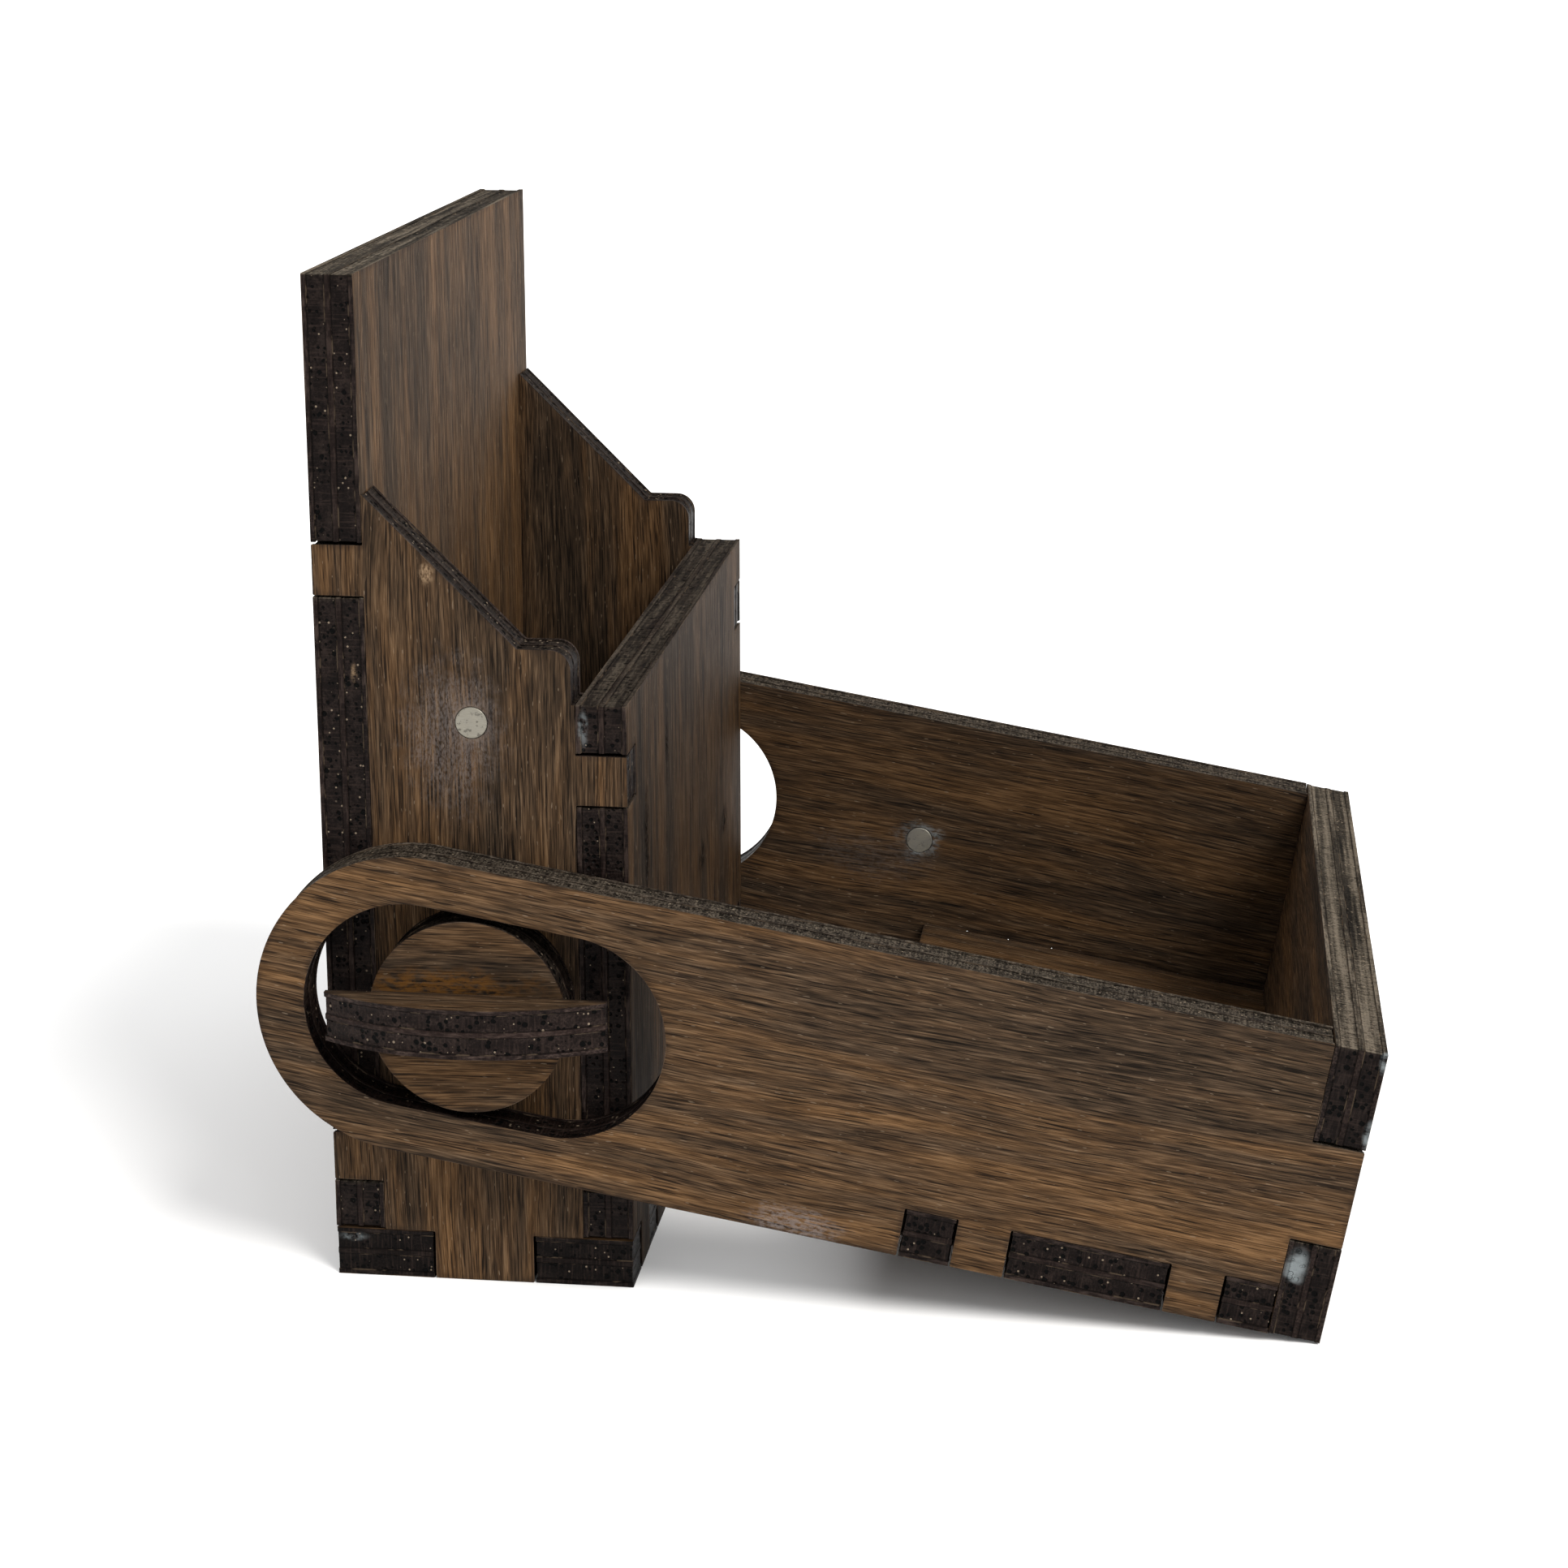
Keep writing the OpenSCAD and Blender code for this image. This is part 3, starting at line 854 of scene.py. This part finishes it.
def build_boards():
    """Every plywood board but the two bars, each with the look it has in the photo."""
    build_board("box_back_panel", "box", "stained_ply_box", BOX_WALL, 1, spots=back_panel_spots())
    build_board("box_front_panel", "box", "stained_ply_box", BOX_WALL, 2, tone=0.62, rubbed=0.35,
                cracks=0.9, spots=front_panel_spots())
    build_board("box_side_near", "box", "stained_ply_box", BOX_SIDE, 3, tone=1.05, rubbed=0.15,
                spots=near_box_side_spots())
    build_board("box_side_far", "box", "stained_ply_box", BOX_SIDE, 4, rubbed=0.15)
    build_board("box_bottom_panel", "box", "stained_ply_box", FLAT, 5, char=0.5,
                spots=bottom_panel_spots())
    for side, seed in (("near", 6), ("far", 7)):
        build_board("pivot_disc_" + side, "pivots", "stained_ply_pivot", DISC, seed, rubbed=0.2,
                    spots=disc_spots(side))
    # Lit and shaded copies of one veneer: the near side is lighter as painted light, the far side darker
    # as painted shade on its inner face
    for side, seed, tone in (("near", 10, 1.22), ("far", 11, 0.84)):
        build_board("tray_side_" + side, "tray", "stained_ply_tray", TRAY_SIDE, seed, tone=tone,
                    rubbed=0.55, banding=0.15, spots=tray_side_spots(side))
    build_board("tray_bottom_panel", "tray", "stained_ply_tray", TRAY_FLOOR, 12, tone=0.8)
    build_board("tray_end_panel", "tray", "stained_ply_tray", TRAY_END, 13, tone=1.35,
                spots=tray_end_spots())


def bar_spots(side):
    """A pale torn line down one end of the curved edge."""
    node = "pivot_bar_" + side
    low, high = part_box(node)
    tear = Vector((high.x - 0.15 * MM, low.y if side == "near" else high.y, (low.z + high.z) / 2))
    return (spot(node, FLAT, tear, (0.35, 2.5, 2.6), BARE, 0.7, 2.0),)


def build_bar(side, seed):
    """A pivot bar: its half-moon board and the round peg that runs through the disc and the box side."""
    node = "pivot_bar_" + side
    made = build_board(node, "box", "stained_ply_pivot", FLAT, seed, tone=1.2, char=1.6,
                       spots=bar_spots(side))
    points = np.array([v.co for v in frame["nodes"][node].data.vertices])
    low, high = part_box(node)
    inner, outward = (high.y, -1) if side == "near" else (low.y, 1)
    at_end = points[np.abs(points[:, 1] - inner) < 1e-6]
    radius = np.abs(at_end[:, 0]).max()
    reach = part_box("pivot_disc_" + side)[0 if side == "near" else 1].y
    length = abs(reach - inner) + 0.8 * MM
    shell = Shell()
    bevel = 0.2 * MM
    profile = ((radius - bevel, 0), (radius - 0.3 * bevel, 0.3 * bevel), (radius, bevel), (radius, length))
    axes = board_axes(X, Y)
    lathe(shell, profile, (0.0, PIVOT.z * axes[1][2], inner), outward, 96)
    peg = object_from("pivot_peg_" + side, shell, axes, 0.0, made.data.materials[0])
    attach(peg, "box")


def build_magnet(node, body, haze, seed):
    """A small nickel disc magnet with a rounded rim."""
    low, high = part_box(node)
    middle = (low + high) / 2
    axes = board_axes(X, Y)
    radius, length = (high.x - low.x) / 2, high.y - low.y
    bevel = 0.12 * MM
    shell = Shell()
    profile = [(radius - bevel * (1 - math.sin(a)), bevel * (1 - math.cos(a)))
               for a in (k * math.pi / 8 for k in range(5))]
    profile += [(r, length - d) for r, d in reversed(profile)]
    lathe(shell, profile, tuple(axes @ np.array((middle.x, low.y, middle.z))), 1)
    made = object_from(node + "_disc", shell, axes, 0.0, nickel_material(node + "_nickel", seed, haze))
    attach(made, body)
    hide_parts(node)


# ---------------------------------------------------------------- camera, lights, floor

def build_camera():
    """At the viewing angle of a person sitting at the table, with a long lens."""
    azimuth, elevation = math.radians(6.9), math.radians(15.6)
    distance = 0.343
    back = Vector((math.sin(azimuth) * math.cos(elevation), -math.cos(azimuth) * math.cos(elevation),
                   math.sin(elevation)))
    right = Vector((math.cos(azimuth), math.sin(azimuth), 0))
    aim = (cad_low + cad_high) / 2 - right * 7.8 * MM - back.cross(right) * 8.0 * MM
    data = bpy.data.cameras.new("camera")
    data.lens = 76.8
    data.sensor_width = 36
    data.clip_start = 0.01
    camera = bpy.data.objects.new("camera", data)
    camera.location = aim + back * distance
    camera.rotation_euler = back.to_track_quat("Z", "Y").to_euler()
    bpy.context.scene.collection.objects.link(camera)
    bpy.context.scene.camera = camera


def sun(name, towards, strength, spread, colour):
    """Light from one side, even over the whole floor. The wider its spread, the softer its shadows."""
    data = bpy.data.lights.new(name, "SUN")
    data.energy = strength
    data.angle = math.radians(spread)
    data.color = colour
    made = bpy.data.objects.new(name, data)
    made.rotation_euler = Vector(towards).to_track_quat("Z", "Y").to_euler()
    bpy.context.scene.collection.objects.link(made)


def build_lights():
    """A soft key from above, the right and the front, and a white room."""
    sun("key", (0.55, -0.46, 0.70), 3.2, 26, (1.0, 0.98, 0.95))
    world = bpy.data.worlds.new("studio")
    world.use_nodes = True
    background = world.node_tree.nodes["Background"]
    background.inputs["Color"].default_value = (1.0, 1.0, 1.0, 1)
    background.inputs["Strength"].default_value = 1.06
    bpy.context.scene.world = world
    bpy.context.scene.view_settings.view_transform = "Standard"


def build_floor():
    """A plain pale floor that reaches past every view."""
    half = 6.0
    corners = [(-half, -half, 0), (half, -half, 0), (half, half, 0), (-half, half, 0)]
    mesh = bpy.data.meshes.new("floor")
    mesh.from_pydata(corners, [], [(0, 1, 2, 3)])
    floor = bpy.data.objects.new("floor", mesh)
    floor.location.z = cad_low.z
    mesh.materials.append(floor_material())
    bpy.context.scene.collection.objects.link(floor)


build_camera()
build_boards()
build_bar("near", 8)
build_bar("far", 9)
for seed, side in enumerate(("near", "far")):
    build_magnet("box_magnet_" + side, "box", 0.15, seed + 1)
    build_magnet("tray_magnet_" + side, "tray", 0.6, seed + 3)
build_lights()
build_floor()
